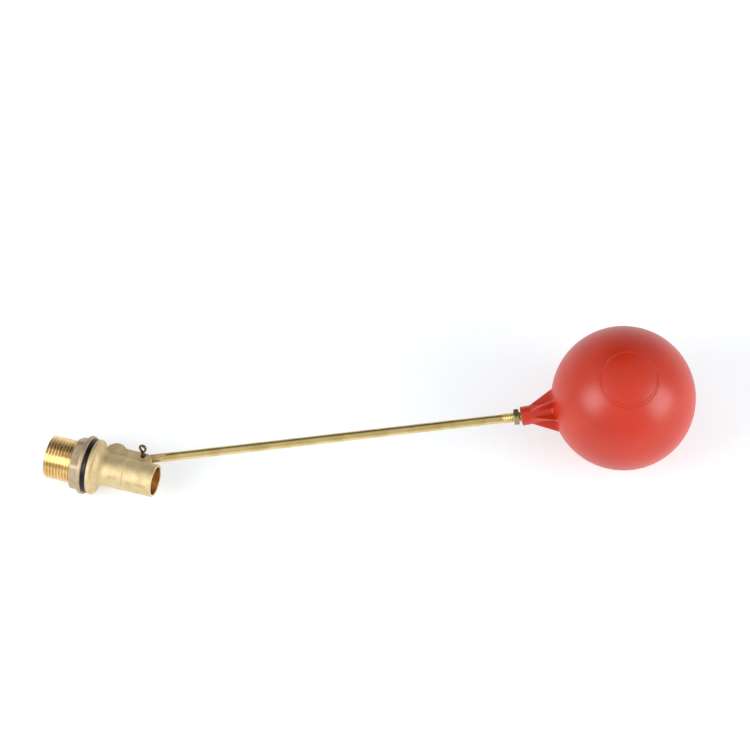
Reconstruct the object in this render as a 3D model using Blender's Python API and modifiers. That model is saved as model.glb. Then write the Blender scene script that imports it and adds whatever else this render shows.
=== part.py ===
"""Float valve: a cast brass body that clamps in a tank wall, and a red ball on a rod that shuts it.

The frame lies on its side. The origin is the centre of the flange's sealing face, where the tank
wall sits. +X runs along the bore from the inlet to the outlet, +Y points to the lever's side and
+Z along the lever's pivot pin. In a tank +Y points down. All sizes are in metres.
"""
import math

import bmesh
import bpy
from mathutils import Matrix, Vector

MM = 0.001

# ---- fits -------------------------------------------------------------------------------------
FACE_GAP = 0.3 * MM            # between two faces that rest on each other
RUNNING_GAP = 0.3 * MM         # around a piece that slides or turns
OVERSHOOT = 2.0 * MM           # how far a cutter runs past the face that it opens

# ---- threaded inlet shank ---------------------------------------------------------------------
SHANK_RADIUS = 13.2 * MM       # crests of the 3/4 inch pipe thread
SHANK_LENGTH = 28.4 * MM       # end of the shank to the flange's sealing face
SHANK_CHAMFER = 1.2 * MM
SHANK_WALL = 4.2 * MM

# ---- flange and barrel ------------------------------------------------------------------------
FLANGE_WIDTH = 3.8 * MM        # how far the flange stands out from the shank
FLANGE_THICKNESS = 2.6 * MM
FLANGE_EDGE = 0.9 * MM
SHOULDER_LENGTH = 6.0 * MM     # taper from the flange down to the barrel
SHOULDER_BEND = 0.35           # where the taper bends, as a share of its length
BARREL_RADIUS = 10.1 * MM
BARREL_WALL = 1.5 * MM
BARREL_LENGTH = 39.8 * MM      # sealing face to the outlet end

# ---- seat -------------------------------------------------------------------------------------
WEB_START = 1.5 * MM           # the web across the bore that carries the seat
WEB_THICKNESS = 3.4 * MM
SEAT_LIP_HEIGHT = 1.1 * MM
SEAT_LIP_WALL = 0.9 * MM
ORIFICE_RADIUS = 3.4 * MM
SEAT_GAP = 0.15 * MM           # left between seal and seat with the lever at its closed stop

# ---- lugs that carry the lever ----------------------------------------------------------------
PIN_X = 28.2 * MM
PIN_RISE = 2.2 * MM            # pin's centre above the barrel
CHEEK_THICKNESS = 2.7 * MM
LUG_MARGIN = 2.2 * MM          # pin's centre to the top of the lugs
EAR_RADIUS = 4.6 * MM
EAR_AHEAD = 1.4 * MM           # centre of the ear's rounding, past the pin
EAR_START_DEG = -25.0
HUMP_RADIUS = 6.6 * MM
HUMP_HEIGHT = 6.9 * MM         # above the barrel
HUMP_X = 11.3 * MM

# ---- lever ------------------------------------------------------------------------------------
REST_DEG = 22.3                # rod against the bore's axis, as drawn
CLOSED_DEG = 6.0               # at the closed stop
OPEN_DEG = 30.3                # at the open stop
ROD_RADIUS = 2.7 * MM
ROD_LENGTH = 230.5 * MM        # pin to the bend in front of the ball
ROD_END_BEND_DEG = 4.1         # the threaded end is bent a little towards +Y
TONGUE_THICKNESS = 3.8 * MM
TONGUE_LENGTH = 13.0 * MM      # pin to where the milled flats run out
TONGUE_RUNOUT = 2.0 * MM
FINGER_TIP_HEIGHT = 1.0 * MM   # centre of the finger's round tip, above the bore's axis
FINGER_TIP_RADIUS = 3.2 * MM
FINGER_NECK = 3.8 * MM
THREAD_HEIGHT = 0.3 * MM       # crests of the rolled M6 thread above the plain rod
THREAD_BEFORE_BEND = 11.0 * MM
THREAD_IN_FLOAT = 12.0 * MM    # length of rod past the face of the ball's boss

# ---- split pin --------------------------------------------------------------------------------
SPLIT_PIN_RADIUS = 1.2 * MM
SPLIT_PIN_WIRE = 0.6 * MM      # half the thickness of the wire that the pin is folded from
EYE_RADIUS = 2.3 * MM          # over the eye's wire
EYE_STRETCH = 1.4              # the eye is longer along the pin than it is wide
EYE_STAND = 3.4 * MM           # cheek to the foot of the eye
EYE_LEAN_DEG = 20.0            # the head is bent a little away from the barrel
EYE_BEND = 1.0 * MM            # cheek to where the head is bent
LEG_LENGTH = 6.0 * MM          # below the lower cheek
LEG_SPREAD_DEG = 24.0

# ---- piston and its seal ----------------------------------------------------------------------
PISTON_FLAT_CUT = 1.5 * MM     # depth of the four flats that let the water past
SEAL_MARGIN = 0.9 * MM         # seal past the seat's lip, all round
SEAL_THICKNESS = 3.0 * MM
SEAL_PROUD = 0.6 * MM
PISTON_TAIL = 2.0 * MM         # metal behind the finger's slot
SLOT_FLOOR_GAP = 0.5 * MM

# ---- back nut and gasket ----------------------------------------------------------------------
GASKET_THICKNESS = 2.4 * MM
GASKET_INSET = 0.2 * MM        # gasket inside the flange's edge
GASKET_EDGE = 0.4 * MM
NUT_WALL = 1.6 * MM            # between the bore and the middle of a flat
NUT_CORNER = 1.8 * MM          # the turned-down corners beyond the flats
NUT_CHAMFER = 1.1 * MM
NUT_HEX_LENGTH = 5.6 * MM
NUT_TURN_DEG = 8.4             # first corner, from +Y towards +Z
NUT_FLANGE_WIDTH = 1.2 * MM    # flange beyond the corners
NUT_FLANGE_THICKNESS = 2.5 * MM
NUT_FLANGE_EDGE = 0.5 * MM

# ---- lock nut, insert and ball ----------------------------------------------------------------
LOCK_NUT_WALL = 1.5 * MM       # between the bore and the middle of a flat
LOCK_NUT_THICKNESS = 3.2 * MM
LOCK_NUT_STANDOFF = 1.4 * MM   # lock nut to the face of the boss
INSERT_WALL = 1.0 * MM
INSERT_LENGTH = 15.0 * MM
BALL_RADIUS = 44.0 * MM
BALL_WALL = 2.2 * MM
BOSS_WALL = 1.2 * MM
BOSS_LENGTH = 19.1 * MM        # face of the boss to the sphere
RIB_COUNT = 6
RIB_PHASE_DEG = 30.0
RIB_THICKNESS = 1.6 * MM
RIB_START = 6.0 * MM           # face of the boss to where a rib begins
RIB_REACH_DEG = 17.7           # how far up the sphere a rib ends, seen from its centre

# ---- smoothness -------------------------------------------------------------------------------
ROUND_STEPS = 56
SMALL_STEPS = 24
BALL_STEPS = 40
BALL_RINGS = 22
ARC_STEPS = 12
EYE_STEPS = 20
SMOOTH_DEG = 35.0

# ---- body, derived ----------------------------------------------------------------------------
INLET_BORE_RADIUS = SHANK_RADIUS - SHANK_WALL
FLANGE_RADIUS = SHANK_RADIUS + FLANGE_WIDTH
BORE_RADIUS = BARREL_RADIUS - BARREL_WALL
WEB_END = WEB_START + WEB_THICKNESS
SEAT_FACE = WEB_END + SEAT_LIP_HEIGHT
PIN_Y = BARREL_RADIUS + PIN_RISE
LUG_TOP = PIN_Y + LUG_MARGIN
HUMP_TOP = BARREL_RADIUS + HUMP_HEIGHT
SLOT_HALF = TONGUE_THICKNESS / 2 + RUNNING_GAP
LUG_WIDTH = 2 * (SLOT_HALF + CHEEK_THICKNESS)
PIN_HOLE_RADIUS = SPLIT_PIN_RADIUS + RUNNING_GAP
WELL_HALF = FINGER_NECK / 2 + ROD_RADIUS

# ---- lever's swing and the piston's travel, derived -------------------------------------------
CLOSED = math.radians(CLOSED_DEG)
HALF_SWING = math.radians(OPEN_DEG - CLOSED_DEG) / 2
FINGER_LEAN = math.radians(REST_DEG - (OPEN_DEG + CLOSED_DEG) / 2)
FINGER_LENGTH = PIN_Y - FINGER_TIP_HEIGHT
PISTON_PER_RADIAN = FINGER_LENGTH * math.sin(HALF_SWING) / HALF_SWING
ROD_CLEARS_BARREL = (BARREL_RADIUS + RUNNING_GAP + ROD_RADIUS / math.cos(CLOSED) - PIN_Y) / (
    math.tan(CLOSED))          # distance past the pin where the closed rod clears the barrel
SLOT_AHEAD = max(EAR_AHEAD + EAR_RADIUS + RUNNING_GAP, ROD_CLEARS_BARREL)
SLOT_FLOOR = BARREL_RADIUS - BARREL_WALL / 2

# ---- piston, derived --------------------------------------------------------------------------
SEAL_RADIUS = ORIFICE_RADIUS + SEAT_LIP_WALL + SEAL_MARGIN
SEAL_FACE = SEAT_FACE + SEAT_GAP + PISTON_PER_RADIAN * math.radians(REST_DEG - CLOSED_DEG)
PISTON_FRONT = SEAL_FACE + SEAL_PROUD
PISTON_SLOT_X = PIN_X + FINGER_LENGTH * math.sin(FINGER_LEAN)
PISTON_SLOT_HALF = FINGER_TIP_RADIUS + RUNNING_GAP
PISTON_END = PISTON_SLOT_X + PISTON_SLOT_HALF + PISTON_TAIL
PISTON_RADIUS = BORE_RADIUS - RUNNING_GAP

# ---- nuts, gasket and ball, derived -----------------------------------------------------------
GASKET_RADIUS = FLANGE_RADIUS - GASKET_INSET
NUT_FACE = -(GASKET_THICKNESS + 2 * FACE_GAP)
NUT_BORE_RADIUS = SHANK_RADIUS + RUNNING_GAP
NUT_FLAT_RADIUS = NUT_BORE_RADIUS + NUT_WALL
NUT_CORNER_RADIUS = NUT_FLAT_RADIUS + NUT_CORNER
NUT_FLANGE_RADIUS = NUT_CORNER_RADIUS + NUT_FLANGE_WIDTH
THREAD_RADIUS = ROD_RADIUS + THREAD_HEIGHT
THREAD_BORE_RADIUS = THREAD_RADIUS + FACE_GAP
INSERT_RADIUS = THREAD_BORE_RADIUS + INSERT_WALL
BOSS_RADIUS = INSERT_RADIUS + FACE_GAP + BOSS_WALL
LOCK_NUT_FRONT = ROD_LENGTH - LOCK_NUT_STANDOFF / 2
BOSS_FACE = LOCK_NUT_STANDOFF / 2     # from the rod's bend
BALL_CENTRE = BOSS_FACE + BOSS_LENGTH + BALL_RADIUS


def collection(name):
    """A collection of the scene, made on first use."""
    found = bpy.data.collections.get(name)
    if found is None:
        found = bpy.data.collections.new(name)
        bpy.context.scene.collection.children.link(found)
    return found


def material(name, colour, roughness, metallic):
    """A Principled material."""
    made = bpy.data.materials.new(name)
    made.use_nodes = True
    shader = made.node_tree.nodes["Principled BSDF"]
    shader.inputs["Base Color"].default_value = (*colour, 1.0)
    shader.inputs["Roughness"].default_value = roughness
    shader.inputs["Metallic"].default_value = metallic
    made.diffuse_color = (*colour, 1.0)
    return made


def linked(name, mesh, matrix, group="float_valve"):
    """An object for a mesh, placed and put in its collection."""
    item = bpy.data.objects.new(name, mesh)
    collection(group).objects.link(item)
    item.matrix_world = matrix
    if group == "cutters":
        item.hide_render = True
        item.display_type = "WIRE"
    return item


def finished(item, name, look):
    """Names a part, gives it its material and shades its round faces smooth."""
    item.name = name
    item.data.name = name
    item.data.materials.clear()
    item.data.materials.append(look)
    item.data.shade_smooth()
    item.data.set_sharp_from_angle(angle=math.radians(SMOOTH_DEG))
    return item


def along(direction, place=(0.0, 0.0, 0.0)):
    """The matrix that turns local +Z to a direction and moves the origin to a place."""
    turn = Vector((0.0, 0.0, 1.0)).rotation_difference(Vector(direction))
    return Matrix.Translation(Vector(place)) @ turn.to_matrix().to_4x4()


def cylinder(name, radius, low, high, matrix, steps=SMALL_STEPS, group="cutters"):
    """A cylinder from low to high along its own Z."""
    mesh = bpy.data.meshes.new(name)
    work = bmesh.new()
    bmesh.ops.create_cone(work, cap_ends=True, segments=steps, radius1=radius, radius2=radius,
                          depth=high - low)
    bmesh.ops.translate(work, verts=work.verts, vec=(0.0, 0.0, (low + high) / 2))
    work.to_mesh(mesh)
    work.free()
    return linked(name, mesh, matrix, group)


def box(name, low, high, matrix=None, group="cutters"):
    """A box between two corners of its own frame."""
    size = [b - a for a, b in zip(low, high)]
    middle = [(a + b) / 2 for a, b in zip(low, high)]
    mesh = bpy.data.meshes.new(name)
    work = bmesh.new()
    bmesh.ops.create_cube(work, size=1.0)
    bmesh.ops.scale(work, verts=work.verts, vec=size)
    bmesh.ops.translate(work, verts=work.verts, vec=middle)
    work.to_mesh(mesh)
    work.free()
    return linked(name, mesh, matrix or Matrix.Identity(4), group)


def turned(name, profile, matrix, steps=ROUND_STEPS, group="float_valve", ring=False):
    """A turned solid: (radius, height) points down the outer side, round the object's Z.

    A ring's profile closes on itself; another profile starts and ends on the axis.
    """
    count = len(profile)
    edges = [(i, i + 1) for i in range(count - 1)]
    if ring:
        edges.append((count - 1, 0))
    mesh = bpy.data.meshes.new(name)
    mesh.from_pydata([(radius, 0.0, height) for radius, height in profile], edges, [])
    item = linked(name, mesh, matrix, group)
    screw = item.modifiers.new("turn", "SCREW")
    screw.steps = steps
    screw.render_steps = steps
    screw.use_merge_vertices = True
    screw.merge_threshold = 0.00001
    screw.use_smooth_shade = True
    return baked(item)


def baked(item):
    """The object with its modifiers or its curve turned into a plain closed mesh."""
    graph = bpy.context.evaluated_depsgraph_get()
    mesh = bpy.data.meshes.new_from_object(item.evaluated_get(graph))
    work = bmesh.new()
    work.from_mesh(mesh)
    bmesh.ops.remove_doubles(work, verts=work.verts, dist=0.000001)
    work.to_mesh(mesh)
    work.free()
    name, matrix = item.name, item.matrix_world.copy()
    group = item.users_collection[0].name
    bpy.data.objects.remove(item)
    return linked(name, mesh, matrix, group)


def plate(name, outline, thickness, group="cutters"):
    """A flat plate with a closed outline in XY, half its thickness to each side of Z = 0."""
    curve = bpy.data.curves.new(name, "CURVE")
    curve.dimensions = "2D"
    curve.fill_mode = "BOTH"
    curve.extrude = thickness / 2
    spline = curve.splines.new("POLY")
    spline.points.add(len(outline) - 1)
    for point, (x, y) in zip(spline.points, outline):
        point.co = (x, y, 0.0, 1.0)
    spline.use_cyclic_u = True
    item = bpy.data.objects.new(name, curve)
    collection(group).objects.link(item)
    bpy.context.view_layer.update()
    return baked(item)


def wire(name, points, radius, group="cutters", resolution=4, ring=False):
    """A round wire through points, with closed ends unless it is a ring."""
    curve = bpy.data.curves.new(name, "CURVE")
    curve.dimensions = "3D"
    curve.bevel_depth = radius
    curve.bevel_resolution = resolution
    curve.use_fill_caps = not ring
    spline = curve.splines.new("POLY")
    spline.points.add(len(points) - 1)
    for point, place in zip(spline.points, points):
        point.co = (*place, 1.0)
    spline.use_cyclic_u = ring
    item = bpy.data.objects.new(name, curve)
    collection(group).objects.link(item)
    bpy.context.view_layer.update()
    return baked(item)


def combined(item, other, operation):
    """Adds an exact Boolean of the given kind."""
    modifier = item.modifiers.new(other.name, "BOOLEAN")
    modifier.operation = operation
    modifier.solver = "EXACT"
    modifier.object = other


def arc(centre, radius, start_deg, end_deg, steps=ARC_STEPS):
    """Points of a circle's arc in XY."""
    angles = [math.radians(start_deg + (end_deg - start_deg) * i / steps) for i in range(steps + 1)]
    return [(centre[0] + radius * math.cos(a), centre[1] + radius * math.sin(a)) for a in angles]


def hexagon_corner(flat_radius):
    """Centre to corner of a hexagon, from centre to flat."""
    return flat_radius / math.cos(math.radians(30.0))


def lug_outline():
    """Side view of the lugs: the hump beside the flange, the straight top and the round ear."""
    base = BORE_RADIUS / 2
    hump_centre = (HUMP_X, HUMP_TOP - HUMP_RADIUS)
    meeting = math.degrees(math.asin((LUG_TOP - hump_centre[1]) / HUMP_RADIUS))
    ear_centre = (PIN_X + EAR_AHEAD, LUG_TOP - EAR_RADIUS)
    return [
        (HUMP_X - HUMP_RADIUS, base),
        (ear_centre[0] + EAR_RADIUS - BARREL_WALL, base),
        *arc(ear_centre, EAR_RADIUS, EAR_START_DEG, 90.0),
        *arc(hump_centre, HUMP_RADIUS, meeting, 180.0),
    ]


def valve_body(look):
    """The casting: threaded shank, flange, barrel, web with the seat, and the lever's lugs."""
    axis = along((1.0, 0.0, 0.0))
    inlet, outlet = -SHANK_LENGTH, BARREL_LENGTH
    shoulder = FLANGE_THICKNESS + SHOULDER_LENGTH
    bend = SHOULDER_BEND * SHOULDER_LENGTH
    outside = [
        (0.0, outlet),
        (BARREL_RADIUS, outlet),
        (BARREL_RADIUS, shoulder),
        (BARREL_RADIUS + bend, FLANGE_THICKNESS + bend),
        (FLANGE_RADIUS - FLANGE_EDGE, FLANGE_THICKNESS),
        (FLANGE_RADIUS, FLANGE_THICKNESS - FLANGE_EDGE),
        (FLANGE_RADIUS, 0.0),
        (SHANK_RADIUS, 0.0),
        (SHANK_RADIUS, inlet + SHANK_CHAMFER),
        (SHANK_RADIUS - SHANK_CHAMFER, inlet),
        (0.0, inlet),
    ]
    passage = [
        (0.0, outlet + OVERSHOOT),
        (BORE_RADIUS, outlet + OVERSHOOT),
        (BORE_RADIUS, WEB_END),
        (ORIFICE_RADIUS + SEAT_LIP_WALL, WEB_END),
        (ORIFICE_RADIUS + SEAT_LIP_WALL, SEAT_FACE),
        (ORIFICE_RADIUS, SEAT_FACE),
        (ORIFICE_RADIUS, WEB_START),
        (INLET_BORE_RADIUS, WEB_START),
        (INLET_BORE_RADIUS, inlet - OVERSHOOT),
        (0.0, inlet - OVERSHOOT),
    ]
    body = turned("valve_body", outside, axis)
    combined(body, plate("lug_blank", lug_outline(), LUG_WIDTH), "UNION")
    combined(body, turned("passage_cutter", passage, axis, group="cutters"), "DIFFERENCE")
    combined(body, box("finger_well_cutter",
                       (PIN_X - WELL_HALF, 0.0, -SLOT_HALF),
                       (PIN_X + WELL_HALF, HUMP_TOP + OVERSHOOT, SLOT_HALF)), "DIFFERENCE")
    combined(body, box("tongue_slot_cutter",
                       (PIN_X, SLOT_FLOOR, -SLOT_HALF),
                       (PIN_X + SLOT_AHEAD, HUMP_TOP + OVERSHOOT, SLOT_HALF)), "DIFFERENCE")
    pin_reach = LUG_WIDTH / 2 + OVERSHOOT
    combined(body, cylinder("pin_hole_cutter", PIN_HOLE_RADIUS, -pin_reach, pin_reach,
                            Matrix.Translation((PIN_X, PIN_Y, 0.0))), "DIFFERENCE")
    return finished(baked(body), "valve_body", look)


def back_nut(look):
    """Hexagon nut with a round flange, which clamps the tank wall against the gasket."""
    axis = along((1.0, 0.0, 0.0))
    back = NUT_FACE - NUT_FLANGE_THICKNESS - NUT_HEX_LENGTH
    inside = NUT_FACE - NUT_FLANGE_THICKNESS / 2
    flange = [
        (0.0, NUT_FACE),
        (NUT_FLANGE_RADIUS - NUT_FLANGE_EDGE, NUT_FACE),
        (NUT_FLANGE_RADIUS, NUT_FACE - NUT_FLANGE_EDGE),
        (NUT_FLANGE_RADIUS, NUT_FACE - NUT_FLANGE_THICKNESS + NUT_FLANGE_EDGE),
        (NUT_FLANGE_RADIUS - NUT_FLANGE_EDGE, NUT_FACE - NUT_FLANGE_THICKNESS),
        (0.0, NUT_FACE - NUT_FLANGE_THICKNESS),
    ]
    corner_turning = [
        (0.0, inside + OVERSHOOT),
        (NUT_CORNER_RADIUS, inside + OVERSHOOT),
        (NUT_CORNER_RADIUS, back + NUT_CHAMFER),
        (NUT_CORNER_RADIUS - NUT_CORNER - OVERSHOOT, back - OVERSHOOT),
        (0.0, back - OVERSHOOT),
    ]
    nut = cylinder("nut_hexagon", hexagon_corner(NUT_FLAT_RADIUS), back, inside,
                   Matrix.Rotation(math.radians(NUT_TURN_DEG), 4, "X") @ axis, steps=6,
                   group="float_valve")
    combined(nut, turned("nut_corner_shape", corner_turning, axis, group="cutters"), "INTERSECT")
    combined(nut, turned("nut_flange_blank", flange, axis, group="cutters"), "UNION")
    combined(nut, cylinder("nut_bore_cutter", NUT_BORE_RADIUS, back - OVERSHOOT,
                           NUT_FACE + OVERSHOOT, axis, steps=ROUND_STEPS), "DIFFERENCE")
    return finished(baked(nut), "back_nut", look)


def flange_gasket(look):
    """Flat rubber ring between the flange and the tank wall."""
    low, high = -FACE_GAP - GASKET_THICKNESS, -FACE_GAP
    profile = [
        (NUT_BORE_RADIUS, high),
        (GASKET_RADIUS - GASKET_EDGE, high),
        (GASKET_RADIUS, high - GASKET_EDGE),
        (GASKET_RADIUS, low + GASKET_EDGE),
        (GASKET_RADIUS - GASKET_EDGE, low),
        (NUT_BORE_RADIUS, low),
    ]
    ring = turned("flange_gasket", profile, along((1.0, 0.0, 0.0)), ring=True)
    return finished(ring, "flange_gasket", look)


def piston(look):
    """Square plunger with round corners: a cup for the seal, and a slot for the lever's finger."""
    axis = along((1.0, 0.0, 0.0))
    body = cylinder("piston", PISTON_RADIUS, PISTON_FRONT, PISTON_END, axis, steps=ROUND_STEPS,
                    group="float_valve")
    half = PISTON_RADIUS - PISTON_FLAT_CUT
    combined(body, box("piston_flats", (PISTON_FRONT - OVERSHOOT, -half, -half),
                       (PISTON_END + OVERSHOOT, half, half)), "INTERSECT")
    cup_floor = SEAL_FACE + SEAL_THICKNESS + FACE_GAP
    combined(body, cylinder("seal_cup_cutter", SEAL_RADIUS + FACE_GAP, PISTON_FRONT - OVERSHOOT,
                            cup_floor, axis, steps=SMALL_STEPS * 2), "DIFFERENCE")
    floor = PIN_Y - FINGER_LENGTH - FINGER_TIP_RADIUS - SLOT_FLOOR_GAP
    combined(body, box("piston_slot_cutter",
                       (PISTON_SLOT_X - PISTON_SLOT_HALF, floor, -SLOT_HALF),
                       (PISTON_SLOT_X + PISTON_SLOT_HALF, PISTON_RADIUS + OVERSHOOT, SLOT_HALF)),
             "DIFFERENCE")
    return finished(baked(body), "piston", look)


def piston_seal(look):
    """Rubber disc in the piston's cup, which shuts on the seat."""
    disc = cylinder("piston_seal", SEAL_RADIUS, SEAL_FACE, SEAL_FACE + SEAL_THICKNESS,
                    along((1.0, 0.0, 0.0)), steps=SMALL_STEPS * 2, group="float_valve")
    return finished(disc, "piston_seal", look)


def finger_outline():
    """Flat end of the lever, at rest: an eye round the pin and a finger down into the piston."""
    tip = (FINGER_LENGTH * math.sin(FINGER_LEAN), -FINGER_LENGTH * math.cos(FINGER_LEAN))
    tip_open = math.degrees(math.asin(FINGER_NECK / 2 / FINGER_TIP_RADIUS))
    eye_open = math.degrees(math.asin(FINGER_NECK / 2 / ROD_RADIUS))
    up_deg = 90.0 + math.degrees(FINGER_LEAN)
    return [
        *arc((0.0, 0.0), ROD_RADIUS, up_deg - 180.0 + eye_open, up_deg + 180.0 - eye_open),
        *arc(tip, FINGER_TIP_RADIUS, up_deg + tip_open, up_deg + 360.0 - tip_open),
    ]


def lever(look, pivot, bend):
    """Brass rod, flattened and bent into a finger at the pin, threaded at the ball's end."""
    turn = pivot.matrix_world
    eye = plate("lever", finger_outline(), TONGUE_THICKNESS, group="float_valve")
    eye.matrix_world = Matrix.Translation(turn.translation)
    end = turn @ Vector((ROD_LENGTH - LOCK_NUT_STANDOFF, 0.0, 0.0))
    rod = wire("rod_blank", [turn.translation, end], ROD_RADIUS, resolution=6)
    for name, sign in (("flat_cutter_upper", 1.0), ("flat_cutter_lower", -1.0)):
        face = sign * TONGUE_THICKNESS / 2
        far = sign * (ROD_RADIUS + OVERSHOOT)
        low = (-2.0 * ROD_RADIUS, -2.0 * ROD_RADIUS, min(face, far))
        high = (TONGUE_LENGTH, 2.0 * ROD_RADIUS, max(face, far))
        cutter = box(name, low, high, turn)
        for corner in cutter.data.vertices:
            if corner.co.x > 0.0 and abs(corner.co.z) > ROD_RADIUS:
                corner.co.x += TONGUE_RUNOUT
        combined(rod, cutter, "DIFFERENCE")
    flat_rod = baked(rod)
    thread_from = turn @ Vector((ROD_LENGTH - THREAD_BEFORE_BEND, 0.0, 0.0))
    kink = bend.matrix_world.translation
    half_gap = LOCK_NUT_STANDOFF / 4
    before = turn @ Vector((ROD_LENGTH - half_gap, 0.0, 0.0))
    after = bend.matrix_world @ Vector((half_gap, 0.0, 0.0))
    tip = bend.matrix_world @ Vector((BOSS_FACE + THREAD_IN_FLOAT, 0.0, 0.0))
    thread = wire("rod_thread_blank", [thread_from, before, kink, after, tip], THREAD_RADIUS,
                  resolution=6)
    combined(eye, flat_rod, "UNION")
    combined(eye, thread, "UNION")
    combined(eye, cylinder("lever_hole_cutter", PIN_HOLE_RADIUS, -LUG_WIDTH, LUG_WIDTH,
                           Matrix.Translation(turn.translation)), "DIFFERENCE")
    return finished(baked(eye), "lever", look)


def split_pin(look):
    """Split pin through both cheeks and the lever: a leaning eye on top, two legs bent apart."""
    bend = LUG_WIDTH / 2 + EYE_BEND
    neck = EYE_STAND - EYE_BEND
    base = -LUG_WIDTH / 2 - FACE_GAP
    place = Matrix.Translation((PIN_X, PIN_Y, 0.0))
    head = (place @ Matrix.Translation((0.0, 0.0, bend))
            @ Matrix.Rotation(math.radians(-EYE_LEAN_DEG), 4, "X"))
    foot = place.inverted() @ head @ Vector((0.0, 0.0, neck))
    pin = wire("split_pin", [(0.0, 0.0, base - SPLIT_PIN_RADIUS), (0.0, 0.0, bend), foot],
               SPLIT_PIN_RADIUS, group="float_valve")
    pin.matrix_world = place
    centre = neck + (EYE_RADIUS - SPLIT_PIN_WIRE) * EYE_STRETCH
    eye = [(x, 0.0, centre + z * EYE_STRETCH)
           for x, z in arc((0.0, 0.0), EYE_RADIUS - SPLIT_PIN_WIRE, 0.0, 360.0, EYE_STEPS)[:-1]]
    ring = wire("split_pin_eye", eye, SPLIT_PIN_WIRE, ring=True)
    ring.matrix_world = head
    combined(pin, ring, "UNION")
    for name, sign in (("split_pin_leg_a", 1.0), ("split_pin_leg_b", -1.0)):
        lean = math.radians(LEG_SPREAD_DEG) * sign
        top = Vector((0.5 * SPLIT_PIN_WIRE * sign, 0.0, base - 0.5 * SPLIT_PIN_RADIUS))
        tip = top + LEG_LENGTH * Vector((math.sin(lean), 0.0, -math.cos(lean)))
        leg = wire(name, [top, tip], SPLIT_PIN_WIRE)
        leg.matrix_world = place
        combined(pin, leg, "UNION")
    return finished(baked(pin), "split_pin", look)


def lock_nut(look, pivot):
    """Thin hexagon nut that locks the rod in the ball's insert."""
    axis = pivot.matrix_world @ along((1.0, 0.0, 0.0))
    back = LOCK_NUT_FRONT - LOCK_NUT_THICKNESS
    nut = cylinder("lock_nut", hexagon_corner(THREAD_BORE_RADIUS + LOCK_NUT_WALL), back,
                   LOCK_NUT_FRONT, axis, steps=6, group="float_valve")
    combined(nut, cylinder("lock_nut_bore_cutter", THREAD_BORE_RADIUS, back - OVERSHOOT,
                           LOCK_NUT_FRONT + OVERSHOOT, axis), "DIFFERENCE")
    return finished(baked(nut), "lock_nut", look)


def float_insert(look, bend):
    """Threaded brass bush moulded into the boss, closed at its inner end."""
    face = BOSS_FACE + FACE_GAP
    floor = BOSS_FACE + THREAD_IN_FLOAT + FACE_GAP
    profile = [
        (0.0, face + INSERT_LENGTH),
        (INSERT_RADIUS, face + INSERT_LENGTH),
        (INSERT_RADIUS, face),
        (THREAD_BORE_RADIUS, face),
        (THREAD_BORE_RADIUS, floor),
        (0.0, floor),
    ]
    bush = turned("float_insert", profile, bend.matrix_world @ along((1.0, 0.0, 0.0)),
                  steps=SMALL_STEPS)
    return finished(bush, "float_insert", look)


def float_shell(look, bend):
    """Hollow ball with its ribbed boss; the bore for the insert opens into the hollow."""
    matrix = bend.matrix_world
    centre = matrix @ Vector((BALL_CENTRE, 0.0, 0.0))
    axis = matrix @ along((1.0, 0.0, 0.0))
    place = along(matrix.to_3x3() @ Vector((1.0, 0.0, 0.0)), centre)
    near = BALL_CENTRE - BALL_RADIUS
    shell = sphere("float_shell", BALL_RADIUS, place, "float_valve")
    combined(shell, cylinder("boss_blank", BOSS_RADIUS, BOSS_FACE, near + BALL_WALL / 2, axis,
                             steps=SMALL_STEPS * 2), "UNION")
    for index in range(RIB_COUNT):
        roll = math.radians(RIB_PHASE_DEG + index * 360.0 / RIB_COUNT)
        rib = plate(f"rib_blank_{index + 1}", rib_outline(), RIB_THICKNESS)
        rib.matrix_world = matrix @ Matrix.Rotation(roll, 4, "X")
        combined(shell, rib, "UNION")
    combined(shell, sphere("hollow_cutter", BALL_RADIUS - BALL_WALL, place, "cutters"), "DIFFERENCE")
    combined(shell, cylinder("insert_bore_cutter", INSERT_RADIUS + FACE_GAP,
                             BOSS_FACE - OVERSHOOT, near + BALL_WALL + OVERSHOOT, axis),
             "DIFFERENCE")
    return finished(baked(shell), "float_shell", look)


def rib_outline():
    """One rib, in the plane of the boss's axis: a triangle from the boss up to the sphere."""
    reach = math.radians(RIB_REACH_DEG)
    inside = BALL_RADIUS - BALL_WALL / 2
    start = BOSS_FACE + RIB_START
    root = BOSS_RADIUS - RIB_THICKNESS / 2
    low_angle = math.asin(root / inside)
    return [
        (start, root),
        (BALL_CENTRE - inside * math.cos(low_angle), root),
        (BALL_CENTRE - inside * math.cos(reach), inside * math.sin(reach)),
        (BALL_CENTRE - BALL_RADIUS * math.cos(reach), BALL_RADIUS * math.sin(reach)),
        (start, BOSS_RADIUS),
    ]


def sphere(name, radius, matrix, group):
    """A ball round the matrix's origin, with its poles on its own Z."""
    mesh = bpy.data.meshes.new(name)
    work = bmesh.new()
    bmesh.ops.create_uvsphere(work, u_segments=BALL_STEPS, v_segments=BALL_RINGS, radius=radius)
    work.to_mesh(mesh)
    work.free()
    return linked(name, mesh, matrix, group)


def pivot_empties():
    """The lever's pivot on the pin's axis, and the bend at the far end of the rod."""
    pivot = bpy.data.objects.new("lever_pivot", None)
    bend = bpy.data.objects.new("rod_bend", None)
    for empty in (pivot, bend):
        collection("float_valve").objects.link(empty)
    pivot.location = (PIN_X, PIN_Y, 0.0)
    pivot.rotation_euler = (0.0, 0.0, math.radians(REST_DEG))
    bend.parent = pivot
    bend.location = (ROD_LENGTH, 0.0, 0.0)
    bend.rotation_euler = (0.0, 0.0, math.radians(ROD_END_BEND_DEG))
    bpy.context.view_layer.update()
    return pivot, bend


def hang(pieces, parent):
    """Parents pieces to an empty and leaves them where they are."""
    for piece in pieces:
        place = piece.matrix_world.copy()
        piece.parent = parent
        piece.matrix_world = place


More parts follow.
